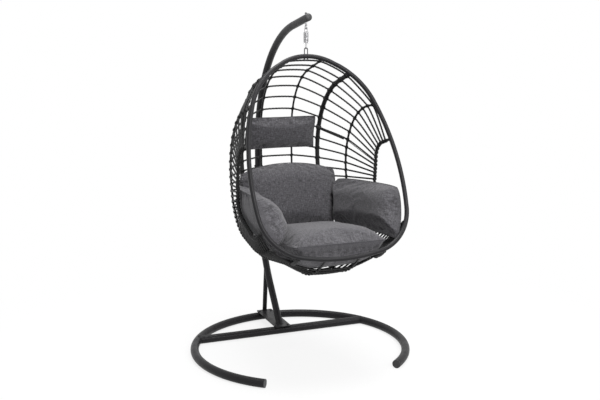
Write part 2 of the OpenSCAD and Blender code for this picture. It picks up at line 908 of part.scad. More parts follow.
// Pins inside the two joints between the arch and the lower hoop
module hoop_pins() {
    half_pin = 20;
    start = arch_end - half_pin;
    color("#8b8c90")
    on_floor()
    hoop_plane()
    for (side = [0, 1])
        mirror([side, 0, 0])
        bar(head_of(tail_of(half_hoop, start), 2 * half_pin), hoop_point(start),
            heading_at(half_hoop, 0, start), hoop_tube - 2 * hoop_wall - 2 * clearance);
}

// ---------- cushions: a front and a back face that meet in one seam ----------

pad_steps = 10;
pad_side = 2 * pad_steps + 1;

// Places from seam to seam, closer together near the seams
function pad_place(i) = sin(90 * (i / pad_steps - 1));

// The sides are drawn in between the corners
function drawn_in(u, v, draw) = u * (1 - draw * (1 - v * v));

// Full in the middle: towards each side a high power keeps it full, a low one rounds it off.
// The powers are for u below and above nought, then for v below and above it.
function fullness(u, v, powers) =
    sqrt((1 - pow(abs(u), powers[u > 0 ? 1 : 0])) * (1 - pow(abs(v), powers[v > 0 ? 3 : 2])));

function unit(v) = v / norm(v);

function pad_normal(middle, u, v) =
    unit(cross(middle(u + 0.01, v) - middle(u - 0.01, v), middle(u, v + 0.01) - middle(u, v - 0.01)));

function pad_point(middle, depth, draw, powers, i, j) =
    let (u = pad_place(i), v = pad_place(j), a = drawn_in(u, v, draw), b = drawn_in(v, u, draw))
    middle(a, b) + depth * fullness(u, v, powers) * pad_normal(middle, a, b);

function on_seam(i, j) = i == 0 || j == 0 || i == pad_side - 1 || j == pad_side - 1;

// The back face shares the seam's points with the front face
function back_index(i, j) =
    on_seam(i, j) ? i * pad_side + j : pad_side * pad_side + (i - 1) * (pad_side - 2) + j - 1;

// Two triangles of a square, split from the pad's corner towards its middle
function split_square(i, j, a, b, c, d) =
    (i < pad_steps) == (j < pad_steps) ? [[a, b, c], [a, c, d]] : [[a, b, d], [b, c, d]];

function flipped(t) = [t[2], t[1], t[0]];

// Cushion about a middle surface, given as a function of two places from -1 to 1
module pad(middle, front_depth, back_depth, draw, powers = [4, 4, 4, 4]) {
    last = pad_side - 1;
    polyhedron(
        points = concat(
            [for (i = [0 : last], j = [0 : last]) pad_point(middle, front_depth, draw, powers, i, j)],
            [for (i = [1 : last - 1], j = [1 : last - 1])
                pad_point(middle, -back_depth, draw, powers, i, j)]),
        faces = concat(
            [for (i = [0 : last - 1], j = [0 : last - 1], half = [0, 1])
                let (a = i * pad_side + j, b = a + pad_side)
                split_square(i, j, a, a + 1, b + 1, b)[half]],
            [for (i = [0 : last - 1], j = [0 : last - 1], half = [0, 1])
                flipped(split_square(i, j, back_index(i, j), back_index(i, j + 1),
                    back_index(i + 1, j + 1), back_index(i + 1, j))[half])]));
}

// The seat lies along the straight run of the main ribs
rest_pitch = 180 + main_spec[3][2];
rest_steps = walk(main_path, rib_start(main_spec), main_spec[3][0]);
rest_middle = (rest_steps[4][0] + rest_steps[5][0]) / 2;
seat_rise = main_rib / 2 + seat_over;
seat_front_z = rest_middle[1] - (rest_middle[0] + seat_front) * tan(rest_pitch)
    + seat_rise / cos(rest_pitch);

module seat_cushion() {
    way = heading(rest_pitch);
    color("#4a4a4e")
    on_floor()
    pad(function(u, v)
        let (p = [-seat_front, seat_front_z] + way * seat_depth * (v + 1) / 2)
        [u * seat_width / 2, p[0], p[1]],
        seat_over, seat_under, 0.03);
}

// The back bows forward towards its sides, and its upper edge rises in the middle
module back_cushion() {
    foot_y = 110;
    bow = 30;
    rise = 45;
    taper = 0.1;
    up = heading(90 - back_lean);
    color("#4a4a4e")
    on_floor()
    pad(function(u, v)
        let (
            along = back_height * (v + 1) / 2 + rise * (1 - u * u) * (1 + v) / 2,
            p = [foot_y - bow * cos(back_lean) * u * u, back_foot_z] + along * up
        )
        [u * back_width / 2 * (1 - taper * (1 - v)), p[0], p[1]],
        back_front, back_behind, 0.03);
}

// An arm cushion follows the basket's side: its seam turns inwards at the back and at the bottom
module arm_cushion(side, inside, powers) {
    seam_x = 396.1;
    back_turn = 90;
    foot_turn = 52;
    front_flare = 18;
    front_rise = 20;
    behind_hoop = 28;
    color("#4a4a4e")
    on_floor()
    mirror([side < 0 ? 1 : 0, 0, 0])
    pad(function(u, v)
        let (
            z = arm_foot_z + arm_height * (v + 1) / 2 + front_rise * u,
            front = hoop_side((z - hoop_top) / cos(hoop_lean))[0] + behind_hoop,
            x = seam_x - back_turn * pow((1 - u) / 2, 3) - foot_turn * pow((1 - v) / 2, 3)
                + front_flare * pow((1 + u) / 2, 4) * (1 + v) / 2
        )
        [x, front + arm_length * (1 - u) / 2, z],
        inside, arm_outside, 0.02, powers);
}

module head_pillow() {
    color("#4a4a4e")
    on_floor()
    pad(function(u, v)
        let (p = [pillow_y, pillow_z] + heading(90 + pillow_lean) * v * pillow_height / 2)
        [u * pillow_width / 2, p[0], p[1]],
        pillow_front, pillow_behind, 0.05);
}

base_ring();
ring_end_caps();
cross_tube();
foot_plate();
foot_bolts();
foot_inserts();
lower_post();
rear_brace();
joint_sleeve();
upper_arm();
post_bolt();
post_nut();
arm_cap();
arm_eye();
arm_eye_nut();
upper_drawbar();
coil_spring();
lower_drawbar();
hoop_hook();
hoop_hook_nuts();
hoop_arch();
hoop_lower();
hoop_pins();
rib(0, -1);  // left_center_rib
rib(0, 1);  // right_center_rib
rib(1, -1);  // left_main_rib
rib(1, 1);  // right_main_rib
rib(2, -1);  // left_side_rib
rib(2, 1);  // right_side_rib
rib(3, -1);  // left_arm_rib
rib(3, 1);  // right_arm_rib
middle_bay(open_rows);  // back_strands
middle_bay(close_rows);  // seat_strands
side_bay(0, -1, open_rows);  // left_back_strands
side_bay(0, 1, open_rows);  // right_back_strands
side_bay(0, -1, close_rows);  // left_seat_strands
side_bay(0, 1, close_rows);  // right_seat_strands
side_bay(1, -1, open_rows);  // left_side_strands
side_bay(1, 1, open_rows);  // right_side_strands
side_bay(1, -1, close_rows);  // left_low_side_strands
side_bay(1, 1, close_rows);  // right_low_side_strands
side_bay(2, -1, open_rows);  // left_wing_strands
side_bay(2, 1, open_rows);  // right_wing_strands
side_bay(2, -1, close_rows);  // left_low_wing_strands
side_bay(2, 1, close_rows);  // right_low_wing_strands
seat_cushion();
back_cushion();
arm_cushion(-1, left_arm_inside, [10, 8, 8, 1.4]);  // left_arm_cushion
arm_cushion(1, right_arm_inside, [10, 6, 6, 3]);  // right_arm_cushion
head_pillow();
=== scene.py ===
import json
import math

import bpy
import numpy as np
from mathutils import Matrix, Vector, noise

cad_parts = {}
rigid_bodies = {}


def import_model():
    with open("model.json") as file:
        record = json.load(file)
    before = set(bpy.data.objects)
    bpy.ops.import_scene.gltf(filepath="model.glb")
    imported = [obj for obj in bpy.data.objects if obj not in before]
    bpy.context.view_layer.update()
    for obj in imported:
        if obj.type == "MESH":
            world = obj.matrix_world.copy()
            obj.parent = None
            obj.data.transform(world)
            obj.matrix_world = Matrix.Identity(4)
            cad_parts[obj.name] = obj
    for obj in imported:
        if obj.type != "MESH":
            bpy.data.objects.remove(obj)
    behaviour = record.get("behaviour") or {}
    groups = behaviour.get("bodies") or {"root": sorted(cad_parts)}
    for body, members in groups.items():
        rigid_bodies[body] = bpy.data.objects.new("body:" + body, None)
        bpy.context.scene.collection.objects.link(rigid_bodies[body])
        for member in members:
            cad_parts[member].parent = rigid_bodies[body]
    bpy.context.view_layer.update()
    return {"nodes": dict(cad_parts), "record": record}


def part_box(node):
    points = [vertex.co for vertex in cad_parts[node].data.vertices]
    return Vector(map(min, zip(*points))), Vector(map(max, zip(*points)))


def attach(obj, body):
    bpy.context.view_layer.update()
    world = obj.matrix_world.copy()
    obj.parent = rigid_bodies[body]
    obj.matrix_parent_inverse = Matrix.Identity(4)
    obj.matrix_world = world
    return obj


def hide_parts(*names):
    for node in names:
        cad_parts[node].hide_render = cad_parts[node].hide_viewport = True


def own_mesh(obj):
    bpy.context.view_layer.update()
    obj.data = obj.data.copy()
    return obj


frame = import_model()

MM = 0.001

# ---------- driving dimensions, as in the construction (millimetres) ----------

# Distance of the hanger in front of the floor ring's centre, and of the frame's origin behind it
HANGER_Y = 88
ORIGIN_Y = 66.317

# Floor ring, foot plate, post and brace
RING_RADIUS = 615
RING_TUBE = 48
CROSS_TUBE_Y = 307
PLATE_TOP = RING_TUBE + 6
PLATE_MARGIN = 28
POST_TUBE = 42
POST_Y = 732
POST_LEAN = 38.4
POST_PATH = [(258,), (1017, POST_LEAN)]
BRACE_TUBE = 28
BRACE_HEIGHT = 372

# Hoop: its lean, and half of its outline down to the last bend
HOOP_LEAN = 27.2
HOOP_TUBE = 25
HOOP_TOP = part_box("hoop_arch")[1][2] / MM - HOOP_TUBE / 2
HALF_HOOP = [(288, -30.2), (30,), (407, -40.4), (1385, -26), (260, -71.2)]
WIDEST_BEND = 3

# Ribs from the middle outwards: place, diameter, first straight, headings and radii of the bends
RIBS = [
    {"x": 97, "across": 12, "first": 220, "headings": (-17.6, -91.6, -180.1, -226.3),
     "radii": (400, 432, 481)},
    {"x": 241, "across": 26, "first": 166, "headings": (-18.4, -98.6, -187.8, -227.2),
     "radii": (451, 357, 190)},
    {"x": 358, "across": 13, "first": 90, "headings": (-9.5, -104.5, -170.1, -219.9),
     "radii": (362, 276, 415)},
    {"x": 409, "across": 16, "first": 112, "headings": (-16.6, -84.3, -160.4, -245.2),
     "radii": (103, 113, 138)},
]
RIB_NAMES = ("center_rib", "main_rib", "side_rib", "arm_rib")
CENTER, MAIN, SIDE, ARM = range(4)

# Strands: thickness, and their rows as shares of a rib's length, far apart above and close below
STRAND = 9
OPEN_STRANDS = 13
FIRST_SHARE = 0.022
OPEN_STEP, OPEN_STEP_LOSS = 0.0443, 0.0008
CLOSE_STEP = 0.02
LAST_SHARE = 0.95
ZONE_GAP = 1.2 * CLOSE_STEP
# The arm ribs are short, so the shares of the other ribs meet other shares on them
OTHER_SHARES, ARM_SHARES = [0, 0.44, 1], [0.054, 0.4, 1]

COIL = {"radius": 13, "wire": 4, "turns": 9}


# ---------- plane paths: straights (length,) and bends (radius, turn) ----------

def heading(angle):
    return np.array([math.cos(math.radians(angle)), math.sin(math.radians(angle))])


def step_move(step, angle):
    if len(step) == 1:
        return step[0] * heading(angle)
    radius, turn = step
    side = math.copysign(1, turn)
    return side * radius * (heading(angle + 90) - heading(angle + turn + 90))


def step_length(step):
    return step[0] if len(step) == 1 else step[0] * abs(math.radians(step[1]))


def step_turn(step):
    return 0 if len(step) == 1 else step[1]


def path_length(path):
    return sum(step_length(step) for step in path)


def along(path, start, angle, distance):
    """Point and heading at a distance along a path."""
    point = np.array(start, float)
    for i, step in enumerate(path):
        length = step_length(step)
        if distance <= length or i == len(path) - 1:
            share = distance / length
            part = (step[0] * share,) if len(step) == 1 else (step[0], step[1] * share)
            return point + step_move(part, angle), angle + step_turn(step) * share
        point = point + step_move(step, angle)
        angle += step_turn(step)
        distance -= length


def closed_half(half):
    """The half hoop with the last bend that brings it back to the middle."""
    end, angle = np.zeros(2), 0
    for step in half:
        end = end + step_move(step, angle)
        angle += step_turn(step)
    closing = 180 + angle
    return half + [(end[0] / math.sin(math.radians(closing)), -closing)]


def widest_distance():
    """Distance along the half hoop at which it runs straight down."""
    before = HALF_HOOP[:WIDEST_BEND]
    left_to_turn = 90 + sum(step_turn(step) for step in before)
    return path_length(before) + step_length((HALF_HOOP[WIDEST_BEND][0], left_to_turn))


HOOP = closed_half(HALF_HOOP)
HOOP_LENGTH = path_length(HOOP)
WIDEST = widest_distance()


def hoop_point(distance):
    return along(HOOP, (0, 0), 0, distance)[0]


def hoop_distance(x, low, high):
    """Distance along the half hoop at which it is x wide."""
    rising = hoop_point(high)[0] > hoop_point(low)[0]
    for _ in range(30):
        middle = (low + high) / 2
        if (hoop_point(middle)[0] < x) == rising:
            low = middle
        else:
            high = middle
    return middle


def hoop_side(w):
    """Side view place (y, z) of a height in the hoop's plane."""
    lean = math.radians(HOOP_LEAN)
    return np.array([w * math.sin(lean) - HANGER_Y, w * math.cos(lean) + HOOP_TOP])


def rib_path(rib):
    start = hoop_side(hoop_point(hoop_distance(rib["x"], 0, WIDEST))[1])
    end = hoop_side(hoop_point(hoop_distance(rib["x"], WIDEST, HOOP_LENGTH))[1])
    a, r = rib["headings"], rib["radii"]
    bends = [step_move((r[i], a[i + 1] - a[i]), a[i]) for i in range(3)]
    rest = end - start - rib["first"] * heading(a[0]) - sum(bends)
    straights = np.linalg.solve(np.stack([heading(a[1]), heading(a[2])], 1), rest)
    return start, [(rib["first"],), (r[0], a[1] - a[0]), (straights[0],),
                   (r[1], a[2] - a[1]), (straights[1],), (r[2], a[3] - a[2])]


for rib in RIBS:
    rib["start"], rib["path"] = rib_path(rib)
    rib["length"] = path_length(rib["path"])


def place(x, y, z):
    """A place written about the floor ring's centre, in the part's frame in metres."""
    return np.array([x, y - ORIGIN_Y, z]) * MM


def rib_share(i, share):
    """The strands gather along the upper part of the short arm ribs."""
    return float(np.interp(share, OTHER_SHARES, ARM_SHARES)) if i == ARM else share


def rib_place(i, side, share, gathered=True):
    """Place and direction of a rib at a share of its length, or gathered, where that row of strands is."""
    rib = RIBS[i]
    distance = (rib_share(i, share) if gathered else share) * rib["length"]
    point, angle = along(rib["path"], rib["start"], rib["headings"][0], distance)
    way = heading(angle)
    return place(side * rib["x"], point[0], point[1]), np.array([0, way[0], way[1]])


def row_shares():
    """Shares of a rib's length at which the rows of strands cross it."""
    rows = [FIRST_SHARE + OPEN_STEP * k - OPEN_STEP_LOSS * k * k for k in range(OPEN_STRANDS)]
    share = rows[-1] + ZONE_GAP
    while share <= LAST_SHARE + 1e-9:
        rows.append(share)
        share += CLOSE_STEP
    return rows


ROWS = row_shares()


# ---------- materials ----------

class Shader:
    """A material's node graph, built a node at a time."""

    def __init__(self, name, color, roughness, **settings):
        self.material = bpy.data.materials.new(name)
        self.material.use_nodes = True
        self.tree = self.material.node_tree
        self.surface = self.tree.nodes["Principled BSDF"]
        self.surface.inputs["Base Color"].default_value = (*color, 1)
        self.surface.inputs["Roughness"].default_value = roughness
        for socket, value in settings.items():
            self.surface.inputs[socket.replace("_", " ")].default_value = value

    def node(self, kind, links=(), **settings):
        made = self.tree.nodes.new(kind)
        for name, value in settings.items():
            if name in made.inputs:
                made.inputs[name].default_value = value
            else:
                setattr(made, name, value)
        for socket, source in links:
            self.tree.links.new(source, made.inputs[socket])
        return made

    def link(self, source, socket):
        self.tree.links.new(source, self.surface.inputs[socket])

    def coordinates(self, kind, scale):
        where = self.node("ShaderNodeTexCoord")
        mapping = self.node("ShaderNodeMapping", [("Vector", where.outputs[kind])])
        mapping.inputs["Scale"].default_value = scale
        return mapping.outputs["Vector"]

    def noise(self, vector, scale, detail=4):
        made = self.node("ShaderNodeTexNoise", [("Vector", vector)])
        made.inputs["Scale"].default_value = scale
        made.inputs["Detail"].default_value = detail
        return made.outputs["Fac"]

    def ramp(self, source, stops):
        made = self.node("ShaderNodeValToRGB", [("Fac", source)])
        elements = made.color_ramp.elements
        while len(elements) < len(stops):
            elements.new(0.5)
        for element, (position, color) in zip(elements, stops):
            element.position = position
            element.color = (*color, 1)
        return made.outputs["Color"]

    def bump(self, height, strength, distance):
        made = self.node("ShaderNodeBump", [("Height", height)])
        made.inputs["Strength"].default_value = strength
        made.inputs["Distance"].default_value = distance
        self.link(made.outputs["Normal"], "Normal")


def grey(value, tint=1.0):
    """A grey that leans to violet by its tint."""
    return (value * (1 + 0.05 * tint), value, value * (1 + 0.14 * tint))


def flat_grey(value):
    return (value, value, value)


def paint(name, value):
    """Powder coat: a satin film with a faint orange peel."""
    made = Shader(name, grey(value), 0.42, Specular_IOR_Level=0.2)
    where = made.coordinates("Object", (1, 1, 1))
    shades = [(0.3, grey(value * 0.85)), (0.7, grey(value * 1.15))]
    made.link(made.ramp(made.noise(where, 9), shades), "Base Color")
    dullness = [(0.35, flat_grey(0.36)), (0.7, flat_grey(0.48))]
    made.link(made.ramp(made.noise(where, 30), dullness), "Roughness")
    made.bump(made.noise(where, 900, 2), 0.12, 0.0002)
    return made.material


def cane(name, value, per_metre):
    """Wound plastic cane: fine ridges across its length, with a dull shine."""
    tint = 0.3
    made = Shader(name, grey(value, tint), 0.5, Specular_IOR_Level=0.25)
    where = made.coordinates("UV", (1, 1, 1))
    wave = made.node("ShaderNodeTexWave", [("Vector", where)],
                     wave_type="BANDS", bands_direction="DIAGONAL")
    wave.inputs["Scale"].default_value = per_metre
    wave.inputs["Distortion"].default_value = 0.6
    speckle = made.noise(made.coordinates("Object", (1, 1, 1)), 160)
    shades = [(0.3, grey(value * 0.6, tint)), (0.7, grey(value * 1.7, tint))]
    made.link(made.ramp(speckle, shades), "Base Color")
    made.bump(wave.outputs["Fac"], 0.5, 0.0012)
    return made.material


def melange(name, dark, light):
    """Woven cloth: crossing light and dark threads, with thicker slubs among them."""
    tint = 0.8
    weave_per_metre = 160
    made = Shader(name, grey(dark, tint), 0.95, Sheen_Weight=0.12, Sheen_Roughness=0.6)

    def crossed(across, along_thread):
        """Mean of two noises, drawn out along the warp and the weft; both scales are per metre."""
        warp = made.noise(made.coordinates("UV", (across, along_thread, 1)), 1, 2)
        weft = made.noise(made.coordinates("UV", (along_thread, across, 1)), 1, 2)
        both = made.node("ShaderNodeMath", [(0, warp), (1, weft)], operation="ADD")
        halved = made.node("ShaderNodeMath", [(0, both.outputs[0])], operation="MULTIPLY")
        halved.inputs[1].default_value = 0.5
        return halved.outputs[0]

    threads = made.ramp(crossed(900, 90), [(0.40, grey(dark, tint)), (0.60, grey(light, tint))])
    slubs = made.ramp(crossed(200, 34), [(0.38, flat_grey(0.5)), (0.62, flat_grey(1.55))])
    blend = made.node("ShaderNodeMix", data_type="RGBA", blend_type="MULTIPLY")
    blend.inputs["Factor"].default_value = 1.0
    # A mix node has its sockets once for each data type: these are the colour ones
    first_color, second_color, mixed_color = 6, 7, 2
    made.tree.links.new(threads, blend.inputs[first_color])
    made.tree.links.new(slubs, blend.inputs[second_color])
    made.link(blend.outputs[mixed_color], "Base Color")
    heights = []
    for direction in ("X", "Y"):
        wave = made.node("ShaderNodeTexWave", [("Vector", made.coordinates("UV", (1, 1, 1)))],
                         wave_type="BANDS", bands_direction=direction)
        wave.inputs["Scale"].default_value = weave_per_metre
        wave.inputs["Distortion"].default_value = 1.5
        heights.append(wave.outputs["Fac"])
    weave = made.node("ShaderNodeMath", [(0, heights[0]), (1, heights[1])], operation="MULTIPLY")
    made.bump(weave.outputs[0], 0.35, 0.0006)
    return made.material


def metal(name, value, roughness):
    """Plated or blackened steel, handled unevenly."""
    made = Shader(name, (value, value, value * 1.02), roughness, Metallic=1.0)
    where = made.coordinates("Object", (1, 1, 1))
    dullness = [(0.3, flat_grey(roughness * 0.7)), (0.7, flat_grey(roughness * 1.4))]
    made.link(made.ramp(made.noise(where, 220), dullness), "Roughness")
    made.bump(made.noise(where, 1400, 2), 0.05, 0.0001)
    return made.material


def plastic(name, value):
    """Moulded plastic with a fine grain."""
    made = Shader(name, grey(value, 0.2), 0.5)
    where = made.coordinates("Object", (1, 1, 1))
    made.bump(made.noise(where, 1100, 2), 0.15, 0.0002)
    return made.material


STAND_PAINT = paint("stand_powder_coat", 0.009)
HOOP_PAINT = paint("hoop_powder_coat", 0.010)
BINDING = cane("rib_binding", 0.008, 40)
CANE = cane("strand_cane", 0.008, 90)
CLOTH = melange("melange_cloth", 0.026, 0.082)
WEBBING = cane("strap_webbing", 0.02, 60)
CHROME = metal("bright_steel", 0.45, 0.2)
DARK_STEEL = metal("black_oxide_steel", 0.10, 0.34)
ZINC = metal("zinc_steel", 0.5, 0.35)
BLACK_PLASTIC = plastic("cap_plastic", 0.016)

SLOT_MATERIALS = {
    "stand_paint": STAND_PAINT, "hoop_paint": HOOP_PAINT, "bound_rib": BINDING,
    "wicker_strand": CANE, "black_plastic": BLACK_PLASTIC, "bright_hardware": CHROME,
    "black_hardware": DARK_STEEL, "inner_steel": ZINC, "melange_cloth": CLOTH,
}


def finish_cad_nodes():
    """Gives every construction node the finish of its slot."""
    slots = {part["node"]: part["material_slot"] for part in frame["record"]["subparts"]}
    for name, node in frame["nodes"].items():
        meshes = [o for o in [node, *node.children_recursive] if o.type == "MESH"]
        for piece in meshes:
            piece.data.materials.clear()
            piece.data.materials.append(SLOT_MATERIALS[slots[name]])


# ---------- meshes ----------

def new_piece(name, verts, faces, material, body="basket", uvs=None):
    """A smooth mesh piece that rides on a body."""
    mesh = bpy.data.meshes.new(name)
    mesh.from_pydata([tuple(v) for v in verts], [], [tuple(f) for f in faces])
    mesh.polygons.foreach_set("use_smooth", [True] * len(mesh.polygons))
    mesh.materials.append(material)
    if uvs is not None:
        layer = mesh.uv_layers.new(name="UVMap")
        loops = np.empty(len(mesh.loops), int)
        mesh.loops.foreach_get("vertex_index", loops)
        layer.data.foreach_set("uv", np.asarray(uvs, float)[loops].ravel())
    mesh.update()
    piece = bpy.data.objects.new(name, mesh)
    bpy.context.collection.objects.link(piece)
    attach(piece, body)
    return piece


class Sweeps:
    """Round tubes of any route, gathered into one mesh."""

    LOBE_DEPTH = 0.1

    def __init__(self):
        self.verts, self.faces, self.uvs = [], [], []
        self.count = 0

    def add(self, points, radii, sides, closed=False, lobes=0, pitch=1.0):
        """A tube through the points; lobes twist round it like the strands of a rope."""
        points = np.asarray(points, float)
        n = len(points)
        radii = np.broadcast_to(np.asarray(radii, float), n)
        if closed:
            tangents = np.roll(points, -1, 0) - np.roll(points, 1, 0)
        else:
            tangents = np.gradient(points, axis=0)
        tangents /= np.linalg.norm(tangents, axis=1)[:, None]
        steps = np.linalg.norm(np.diff(points, axis=0), axis=1)
        travelled = np.concatenate([[0], np.cumsum(steps)])
        seed = np.eye(3)[np.argmin(np.abs(tangents[0]))]
        normal = np.cross(tangents[0], seed)
        angles = np.arange(sides) * 2 * math.pi / sides
        for i in range(n):
            normal = normal - tangents[i] * normal.dot(tangents[i])
            normal /= np.linalg.norm(normal)
            other = np.cross(tangents[i], normal)
            twist = 2 * math.pi * travelled[i] / pitch
            grown = 1 + (self.LOBE_DEPTH * np.cos(lobes * (angles - twist)) if lobes else 0 * angles)
            ring = points[i] + radii[i] * (np.outer(grown * np.cos(angles), normal)
                                           + np.outer(grown * np.sin(angles), other))
            self.verts.append(ring)
            self.uvs.append(np.stack([np.full(sides, travelled[i]), angles * radii[i]], 1))
        last = n if closed else n - 1
        for i in range(last):
            for j in range(sides):
                a = self.count + i * sides
                b = self.count + (i + 1) % n * sides
                k = (j + 1) % sides
                self.faces.append((a + j, a + k, b + k, b + j))
        if not closed:
            self.faces.append([self.count + j for j in range(sides)][::-1])
            self.faces.append([self.count + (n - 1) * sides + j for j in range(sides)])
        self.count += n * sides

    def piece(self, name, material, slot, body="basket"):
        verts, uvs = np.vstack(self.verts), np.vstack(self.uvs)
        return new_piece(name, verts, self.faces, material, body, uvs)


def resampled(points, step):
    """Points about a step apart along a smooth curve through the given ones."""
    # Share of the distance between the neighbours that a point's tangent takes
    pull = 0.32
    points = np.asarray(points, float)
    padded = np.vstack([2 * points[0] - points[1], points, 2 * points[-1] - points[-2]])
    out = []
    for i in range(1, len(padded) - 2):
        p0, p1, p2, p3 = padded[i - 1:i + 3]
        count = max(2, int(np.linalg.norm(p2 - p1) / step))
        for t in np.arange(count) / count:
            m1, m2 = (p2 - p0) * pull, (p3 - p1) * pull
            out.append((2 * t**3 - 3 * t**2 + 1) * p1 + (t**3 - 2 * t**2 + t) * m1
                       + (3 * t**2 - 2 * t**3) * p2 + (t**3 - t**2) * m2)
    out.append(points[-1])
    return np.array(out)


# ---------- wicker ----------

def strand_route(share):
    """Places on every rib, from the left arm rib to the right one."""
    left = [rib_place(i, -1, share)[0] for i in (ARM, SIDE, MAIN, CENTER)]
    right = [rib_place(i, 1, share)[0] for i in (CENTER, MAIN, SIDE, ARM)]
    return left + right


def make_strands():
    """Every strand is a rope of three canes, from the left arm rib to the right one."""
    canes = Sweeps()
    radius = STRAND * 0.55 * MM
    for share in ROWS:
        route = resampled(strand_route(share), 5 * MM)
        canes.add(route, radius, 9, lobes=3, pitch=60 * MM)
    piece = canes.piece("wicker_strands", CANE, "wicker_strand")
    names = [n for n in frame["nodes"] if n.endswith("_strands")]
    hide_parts(*names)


def ring_points(middle, axis, radius, count, tilt=0.0):
    """Points of a ring round an axis, a little out of square by tilt."""
    axis = np.asarray(axis, float) / np.linalg.norm(axis)
    side = np.cross(axis, [1.0, 0, 0])
    side /= np.linalg.norm(side)
    other = np.cross(axis, side)
    turn = np.arange(count) * 2 * math.pi / count
    return (middle + radius * (np.cos(turn)[:, None] * side + np.sin(turn)[:, None] * other)
            + tilt * np.sin(turn)[:, None] * axis)


def make_knots():
    """Where a strand meets a rib, its cane is wound round the rib."""
    knots = Sweeps()
    wire = 2.6 * MM
    apart, lift, tilt = 1.7 * wire, 0.45 * wire, 0.6 * wire
    for i, rib in enumerate(RIBS):
        radius = rib["across"] / 2 * MM + lift
        for side in (-1, 1):
            for share in ROWS:
                middle, way = rib_place(i, side, share)
                for k in (-1, 0, 1):
                    turn = ring_points(middle + way * k * apart, way, radius, 14, tilt)
                    knots.add(turn, wire, 6, closed=True)
    knots.piece("strand_knots", CANE, "wicker_strand")


def make_bound_ribs():
    """Ribs wound from hoop to hoop with flat cane: ridges across their length."""
    ridge, depth, step, end = 8 * MM, 0.9 * MM, 1.6 * MM, 9
    for i, (rib, name) in enumerate(zip(RIBS, RIB_NAMES)):
        hidden = end / rib["length"]
        count = int(rib["length"] * MM / step)
        shares = np.linspace(hidden, 1 - hidden, count)
        across = np.abs(np.sin(math.pi * shares * rib["length"] * MM / ridge))
        radii = rib["across"] / 2 * MM - depth * (1 - np.sqrt(across))
        for side, hand in ((-1, "left"), (1, "right")):
            points = np.array([rib_place(i, side, s, gathered=False)[0] for s in shares])
            winding = Sweeps()
            winding.add(points, radii, 16 if i == MAIN else 12)
            piece = winding.piece(f"{hand}_{name}_binding", BINDING, "bound_rib")
            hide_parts(f"{hand}_{name}")


def make_rib_welds():
    """A bead where each rib's end is welded to the hoop."""
    beads = Sweeps()
    bead, unevenness = 2.4 * MM, 1.0 * MM
    for i, rib in enumerate(RIBS):
        inset = HOOP_TUBE * 0.52 / rib["length"]
        for side in (-1, 1):
            for share in (inset, 1 - inset):
                middle, way = rib_place(i, side, share, gathered=False)
                ring = ring_points(middle, way, rib["across"] / 2 * MM, 24, unevenness)
                beads.add(ring, bead, 8, closed=True)
    beads.piece("rib_weld_beads", HOOP_PAINT, "hoop_paint")


# ---------- cushions ----------

# Cells from a cushion's middle to its seam
GRID = 44
# Depth of the covers below their cut before they are blown up, and the distance that it fades over
INSET, INSET_FADE = 9, 14
# Cloth: pressure inside, extra size of the cloth, frames, and the furthest that a point may move
PRESSURE = 1.2
SLACK = 0.022
CLOTH_FRAMES = 20
CAP = 18
# Cloth stands proud of its cut by this much at most, and comes to that softly
PROUD = 1.0
SOFTNESS = 4.0
# Apart by more than any fold's length, so that no two sides of a cushion fold alike
SIDE_APART, END_APART, FACE_APART = 3000, 9000, 500


def pad_places():
    """Places from seam to seam, a little closer together near the seams."""
    even_part, crowded_part = 0.45, 0.55
    even = np.arange(2 * GRID + 1) / GRID - 1
    return even_part * even + crowded_part * np.sin(np.pi / 2 * even)


def fullness(u, v, powers):
    """Share of the full depth, from none at the seams; a power for each side says how steeply it rises."""
    pu = np.where(u > 0, powers[1], powers[0])
    pv = np.where(v > 0, powers[3], powers[2])
    return np.sqrt(np.clip((1 - np.abs(u) ** pu) * (1 - np.abs(v) ** pv), 0, None))


def surface_normals(middle, u, v):
    step = 0.01
    across = middle(u + step, v) - middle(u - step, v)
    up = middle(u, v + step) - middle(u, v - step)
    normal = np.cross(across, up)
    return normal / np.linalg.norm(normal, axis=-1)[..., None]


def fractal(points, scale, seed):
    """Smooth noise from -1 to 1 at many points."""
    roughness, lacunarity, octaves = 1.0, 2.0, 3
    shift = Vector((seed * 7.3, seed * 3.1, seed * 5.7))
    flat = points.reshape(-1, 3) * scale
    values = [noise.fractal(Vector(p) + shift, roughness, lacunarity, octaves) for p in flat]
    return np.array(values).reshape(points.shape[:-1])


def span(low, high):
    return np.linalg.norm(high - low)


